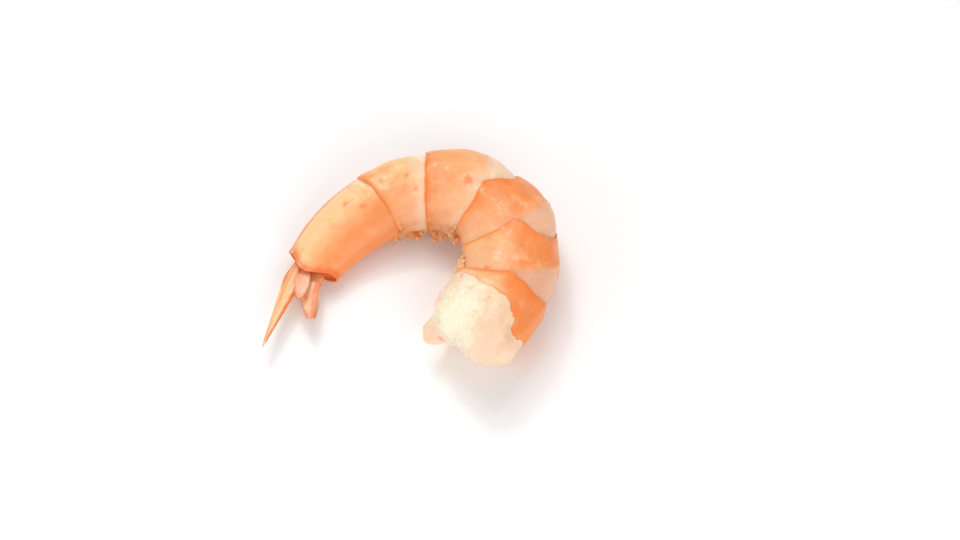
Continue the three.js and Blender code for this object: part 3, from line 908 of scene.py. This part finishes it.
def blade_directions(heading, rise_angle, roll):
    """The blade's direction, and across and off its flat side."""
    heading, rise_angle, roll = (math.radians(v) for v in (heading, rise_angle, roll))
    tip = Vector((math.cos(rise_angle) * math.cos(heading),
                  math.cos(rise_angle) * math.sin(heading), math.sin(rise_angle)))
    level = Vector((0, 0, 1)).cross(tip).normalized()
    broad = Quaternion(tip, roll) @ tip.cross(level)
    return tip, broad, broad.cross(tip)


# %% Outlines of the blades, as shares of the half width
def smooth(share):
    return share * share * (3 - 2 * share)


def shouldered(shoulder, root, tip, bulge):
    """Widens from the root to a shoulder and narrows to the tip."""
    def outline(u):
        if u < shoulder:
            return mixed(root, 1, smooth(u / shoulder))
        return mixed(tip, 1, ((1 - u) / (1 - shoulder)) ** bulge)
    return outline


spike = shouldered(0.22, 0.62, 0.05, 0.95)
wing = shouldered(0.3, 0.6, 0.25, 0.85)


def leaf(u):
    return math.sqrt(math.sin(math.pi * mixed(0.12, 0.97, u)))


def stub(u):
    return mixed(0.8, 1, math.sin(math.pi * u))


def rounded(u, end):
    """Closes an outline at both ends, over this share of its length."""
    near_root, near_tip = min(1, u / end), min(1, (1 - u) / end)
    return math.sqrt(1 - (1 - near_root) ** 2) * math.sqrt(1 - (1 - near_tip) ** 2)


# %% Geometry Nodes for a blade
BLADE_AROUND = 64
RIBS = (-0.55, -0.2, 0.2, 0.55)
HAIR_BOTTOM, HAIR_TOP = 0.035, 0.004       # radii
JITTER = 0.25                    # of the hairs' turn and length
EDGES = ((1, 3), (-1, 8))        # each side, and the seed of its hairs


def blade_tree():
    made = ShapeTree("Fan blade", BLADE_AROUND)
    start, tip, broad, flat = (made.add_input(name, (0, 0, 0), "NodeSocketVector")
                               for name in ("Start", "Tip", "Broad", "Flat"))
    rib_height = made.add_input("Rib height", 0.06)
    camber = made.add_input("Camber", 0.12)
    waviness = made.add_input("Waviness", 0.3)
    hair_length = made.add_input("Hair length", 0.5)

    u, half, thick, dent = (made.of_ring(n) for n in ("place", "half", "thick", "dent"))
    plain = moved(start, (tip, u), (broad, made.of_ring("aside")))
    wave = wobble(plain, 0.5, 3.0) * waviness
    ribs = sum(swell(made.cos - rib, 0.09) for rib in RIBS) * rib_height
    ribs = ribs * (thick * 4).at_most(1) * made.sin.at_least(0) ** 0.5
    across = made.cos * half * (wave * 0.25 + 1)
    off_flat = (thick * made.sin + ribs + wave * half * 0.25
                - dent * swell(made.off(90), 28) - made.cos ** 2 * half * camber)
    made.keep(across=made.cos, share=made.of_ring("share"), hair=0.0)
    made.move_to(moved(plain, (broad, across), (flat, off_flat)))
    made.close()

    hair = made.node("MeshCone", {
        "Vertices": 5, "Radius Top": HAIR_TOP, "Radius Bottom": HAIR_BOTTOM, "Depth": 1.0})
    marked = made.node("StoreNamedAttribute", {"Geometry": hair, "Name": "hair", "Value": 1.0})

    def fringe(side, seed):
        place, half, aside, hairy = (made.named(n) for n in ("place", "half", "aside", "hairy"))
        edge = moved(start, (tip, place), (broad, half * side * 0.96 + aside),
                     (flat, half * camber * -1))
        jitter = value_of(made.tree, "FunctionNodeRandomValue",
                          {2: -JITTER, 3: JITTER, "Seed": seed}, 1)
        turn = mixed(0.6, 1.25, made.named("share")) + jitter
        towards = moved(broad.scaled(turn.cosine() * side), (tip, turn.sine()),
                        (flat, jitter * 0.6))
        tall = hairy * hair_length * (jitter + 1)
        hairs = made.planted(marked, edge, towards, (1, 1, tall),
                             Selection=hairy.math("GREATER_THAN", 0.05))
        here = made.node("InputPosition")
        return made.node("SetPosition", {"Geometry": hairs, "Position": here.scaled(MM)})

    made.join(fringe(*edge) for edge in EDGES)
    return made.finish()


# %% [markdown]
# The blades are shell without flesh under it: pale and pinkish in the middle,
# with orange pigment along the edges, at the root and towards the tip. Light
# passes through them where they are thin.

# %% Blade material
def blade_material(name, middle, deep, dark_side, stripes=0.0, pale_corner=0.0, pale_tip=0.0):
    material, tree, shader = new_material(
        name, Subsurface_Weight=0.4, Subsurface_Scale=0.8 * MM, IOR=1.45,
        Subsurface_Radius=(1.0, 0.5, 0.3), Coat_Weight=0.3, Coat_Roughness=0.18)
    place = object_place(tree)
    patches, grain = noise(place, 0.7, 4.0, 0.6), noise(place, 3.2, 3.0, 0.6)
    across, share, hair = stored(tree, "across", "share", "hair")
    streaks = noise(combined(tree, across * 2.2, share * 1.2, 0), 1.5, 3.0, 0.65)
    side = rise(across * dark_side + (patches - 0.5) * 0.9, 0.3, 0.95)
    edges = rise(across.math("ABSOLUTE") + (patches - 0.5) * 0.5, 0.75, 1.0)
    ends = fall(share, 0.0, 0.14) * 0.7 + rise(share + (patches - 0.5) * 0.3, 0.72, 1.0)
    stripe = swell(across + 0.8, 0.2) + swell(across - 0.4, 0.22)
    stripe = stripe * fall(share, 0.22, 0.4) * rise(patches, 0.2, 0.4)
    corner = fall(share, 0.2, 0.45) * fall(across, -0.1, 0.5)
    colour = layered(
        middle,
        (deep, side * 0.75 + edges * 0.3),
        (deep, ends * 0.6),
        (deep, rise(streaks, 0.48, 0.64) * 0.6),
        ((253, 226, 196), rise(streaks, 0.44, 0.3) * 0.6),
        ((238, 120, 52), stripe.at_most(1) * stripes),
        ((254, 230, 196), corner * pale_corner),
        ((252, 212, 204), rise(share, 0.9, 0.96) * pale_tip),
        ((236, 120, 58), rise(grain, 0.64, 0.74) * 0.35),
        ((243, 150, 100), hair * 0.8))
    dress(shader, colour, 0.28 + grain * 0.14, grain * 0.5 + streaks, 0.3, 0.2)
    return material


# %% Making the blades
BLADE_RINGS = 90
ROOTED = 0.6                     # how far a blade's root reaches into what bears it
END_ROUNDING = 0.03              # the share of its length over which each end closes
# Each blade: where it starts, off the end of the body (back, right, tailward),
# its heading, rise and roll, its length, width and thickness, its outline, the
# furrow along it, how far it draws to one side, and how hairy its edges are.
FAN = {
    "telson": ((2.75, 0.3, 0.15), (251, 3, -78), (23.1, 4.4, 2.0), spike, 0.25, 0, 0),
    "uropod_right_base": ((-1.2, 0.1, 0.5), (268, 10, -75), (3.2, 4.4, 1.8), stub, 0, 0, 0),
    "uropod_right_outer": ((-2.5, 1.0, 3.8), (264, 4, -75), (8.9, 4.3, 0.9), wing, 0.1, 0.6, 1),
    "uropod_right_inner": ((-0.2, 2.1, 2.7), (261, 6, -82), (6.9, 3.1, 0.8), leaf, 0.1, 0, 1),
    "uropod_left_base": ((-1.0, -1.9, 0.5), (250, 0, 80), (2.2, 3.8, 1.2), stub, 0, 0, 0),
    "uropod_left_outer": ((-2.4, -1.9, 3.0), (264, 0, 80), (7.4, 3.2, 0.7), wing, 0.1, -0.6, 1),
    "uropod_left_inner": ((0, -1.9, 3.3), (256, 0, 80), (3.9, 2.2, 0.7), leaf, 0.1, 0, 1),
}


def blade_ring(share, sizes, outline, furrow, lean, hairy):
    length, width, thickness = sizes
    place = mixed(-ROOTED, length, share)
    u = max(0, place / length)
    shape = outline(u) * rounded(share, END_ROUNDING)
    return {
        "share": u, "place": place, "half": width / 2 * shape,
        "aside": lean * width / 2 * (1 - outline(u)), "thick": thickness / 2 * shape ** 0.6,
        "dent": furrow * thickness * math.sin(math.pi * min(1, u / 0.9)) * min(1, shape * 4),
        "hairy": hairy * smooth(min(1, max(0, (u - 0.35) / 0.3))) * (share < 0.99),
    }


blade = blade_tree()
BLADE_PAINTS = {
    "telson": blade_material("telson_shell", (249, 196, 138), (239, 126, 58), 1,
                             stripes=0.85, pale_tip=0.8),
    "base": blade_material("base_shell", (250, 180, 124), (242, 140, 78), 1),
    "outer": blade_material("outer_shell", (251, 200, 160), (238, 122, 56), 1.6,
                            pale_corner=0.8),
    "inner": blade_material("inner_shell", (247, 178, 136), (242, 140, 86), 0.6),
}
for name, (root, angles, sizes, *rest) in FAN.items():
    rings = [blade_ring(i / BLADE_RINGS, sizes, *rest) for i in range(BLADE_RINGS + 1)]
    tip, broad, flat = blade_directions(*angles)
    start = fan_root + end_back * root[0] + Vector((0, 0, root[1])) + end_tail * root[2]
    piece = evaluated_piece(
        name + "_blade", carrier_of(name + "_rings", rings), blade,
        BLADE_PAINTS[name.split("_")[-1]],
        Start=tuple(start), Tip=tuple(tip), Broad=tuple(broad), Flat=tuple(flat))
    place_piece(piece, name)

# %% [markdown]
# ## Torn scraps on the belly
#
# Pulling the legs off leaves ragged scraps along the belly, and three broad pale
# ones lie beside the cut end. They are lumps of the same flesh, wider at the
# root and torn at the end. A few points along the belly carry their sizes; the
# tree sets a rounded lump on each, turns it away from the body, and tears it
# with noise.

# %% Scraps
SCRAPS = [                       # along the body, angle, length, width, lean to the tail
    (53.6, 196, 1.7, 1.4, 0.8), (52.2, 205, 1.2, 1.6, 0.2), (48.3, 203, 1.5, 2.2, 0.2),
    (46.3, 209, 1.9, 1.9, -0.1), (44.5, 206, 1.0, 1.5, 0.0), (42.6, 202, 0.7, 1.6, 0.1),
    (40.0, 199, 1.1, 1.6, -0.1), (38.2, 204, 2.1, 2.4, 0.0), (36.3, 199, 1.9, 2.0, -0.3),
    (31.6, 180, 1.3, 2.0, -0.2), (27.6, 186, 1.0, 1.8, -0.3), (12.6, 177, 0.9, 4.2, 0.1),
    (9.0, 173, 1.2, 5.0, 0.0), (5.6, 168, 1.1, 5.0, -0.1),
]
PALE_UP_TO = 13                  # scraps this near the cut end have little pigment
SCRAP_ROOTED = 0.7               # how deep they start in the flesh


def scrap_tree():
    made = ShapeTree("Torn scraps")
    tearing = made.add_input("Tearing", 2.6)
    made.follow(made.named("along"))
    made.cos, made.sin = made.named("angle").cosine(), made.named("angle").sine()
    out = moved(made.back.scaled(made.cos), (made.right, made.sin),
                (made.tail, made.named("lean")))
    width, length = made.named("width"), made.named("length")

    made.geometry = made.node("MeshUVSphere", {"Segments": 32, "Rings": 28, "Radius": 0.5})
    x, y, z = split(made.node("InputPosition"))
    narrow = 1 - rise(z, -0.3, 0.5) * 0.3
    made.keep(torn_share=rise(z, -0.3, 0.4))
    made.shape("SetPosition", {"Position": combined(made.tree, x * narrow, y * narrow, z + 0.3)})
    made.geometry = made.planted(made.geometry, made.section(1, -SCRAP_ROOTED), out,
                                 (width, width * 0.45, length * 1.7))
    where = made.node("InputPosition")
    normal = made.node("InputNormal")
    torn = wobble(where, 0.8, 3.0, 0.6) * tearing * made.named("torn_share")
    made.keep(off_back=120.0, headward=1.2, tailward=4.0, wedge=-5.0, creamy=0.5, lift=0.0,
              blots=0.0, cream=0.0, bruise=0.0, along=30.0)
    made.move_to(moved(where, (normal, torn)))
    return made.finish()


def scrap_row(along, angle, length, width, lean):
    pigment, golden = (1.0, 0.1) if along > PALE_UP_TO else (0.35, 0.4)
    return {"along": along, "angle": math.radians(angle), "length": length, "width": width,
            "lean": lean, "pigment": pigment, "golden": golden}


scrap_points = carrier_of("scrap_points", [scrap_row(*row) for row in SCRAPS])
torn_scraps = evaluated_piece("belly_scraps", scrap_points, scrap_tree(), flesh_paint)
place_piece(torn_scraps)

# %% [markdown]
# ## The table, the light and the camera
#
# The prawn lies on a plain white table among four soft lights, the strongest of
# them above it. The camera looks down on its right side, which lies uppermost.

# %% Table
FLOOR_HALF = 1.5
WHITE = (250, 250, 250)
floor_mesh = bpy.data.meshes.new("table")
floor_mesh.from_pydata([(x * FLOOR_HALF, y * FLOOR_HALF, 0)
                        for x, y in ((-1, -1), (1, -1), (1, 1), (-1, 1))], [], [(0, 1, 2, 3)])
floor = new_object("table", floor_mesh)
floor_material, _, floor_shader = new_material("white_table", Roughness=0.7)
floor_shader.inputs["Base Color"].default_value = painted(WHITE)
floor_mesh.materials.append(floor_material)

# %% Light
world = bpy.data.worlds.new("studio")
bpy.context.scene.world = world
world.use_nodes = True
background = world.node_tree.nodes["Background"]
background.inputs["Color"].default_value = (1, 1, 1, 1)
background.inputs["Strength"].default_value = 0.52

SOFT_LIGHTS = [                  # the name, the place, the size and the power
    ("overhead_softbox", (-0.1, 0.35, 0.6), 0.5, 1.7), ("window", (-0.1, 0.3, 0.4), 0.08, 0.3),
    ("front_softbox", (0.25, -0.5, 0.3), 0.5, 1.5), ("left_fill", (-0.4, -0.35, 0.25), 0.4, 0.5),
]
for name, place, size, power in SOFT_LIGHTS:
    light = bpy.data.lights.new(name, "AREA")
    light.shape, light.size, light.energy = "DISK", size, power
    lamp = new_object(name, light)
    lamp.location = place
    lamp.rotation_mode = "QUATERNION"
    lamp.rotation_quaternion = Vector(place).to_track_quat("Z", "Y")
bpy.context.scene.view_settings.view_transform = "Standard"

# %% Camera
FRAME_WIDTH, FRAME_HEIGHT = 960, 540
ELEVATION = 60
DISTANCE = 0.491
LENS, SENSOR = 85.0, 36.0
ORIGIN_PIXEL = (413.0, 275.2)    # where the prawn's origin falls in the frame

per_pixel = DISTANCE / (LENS / SENSOR * FRAME_WIDTH)
lean = math.radians(ELEVATION)
away = Vector((0, -math.cos(lean), math.sin(lean)))
right = Vector((1, 0, 0))
up = away.cross(right)
aside = (ORIGIN_PIXEL[0] - FRAME_WIDTH / 2) * per_pixel
above = (FRAME_HEIGHT / 2 - ORIGIN_PIXEL[1]) * per_pixel
camera_data = bpy.data.cameras.new("camera")
camera_data.lens, camera_data.sensor_width = LENS, SENSOR
camera_data.clip_start, camera_data.clip_end = 0.01, 10
camera = new_object("camera", camera_data)
camera.matrix_world = Matrix.Translation(away * DISTANCE - right * aside - up * above) @ Matrix(
    (right, up, away)).transposed().to_4x4()
bpy.context.scene.camera = camera

# %% The end
bpy.data.objects.remove(centreline)
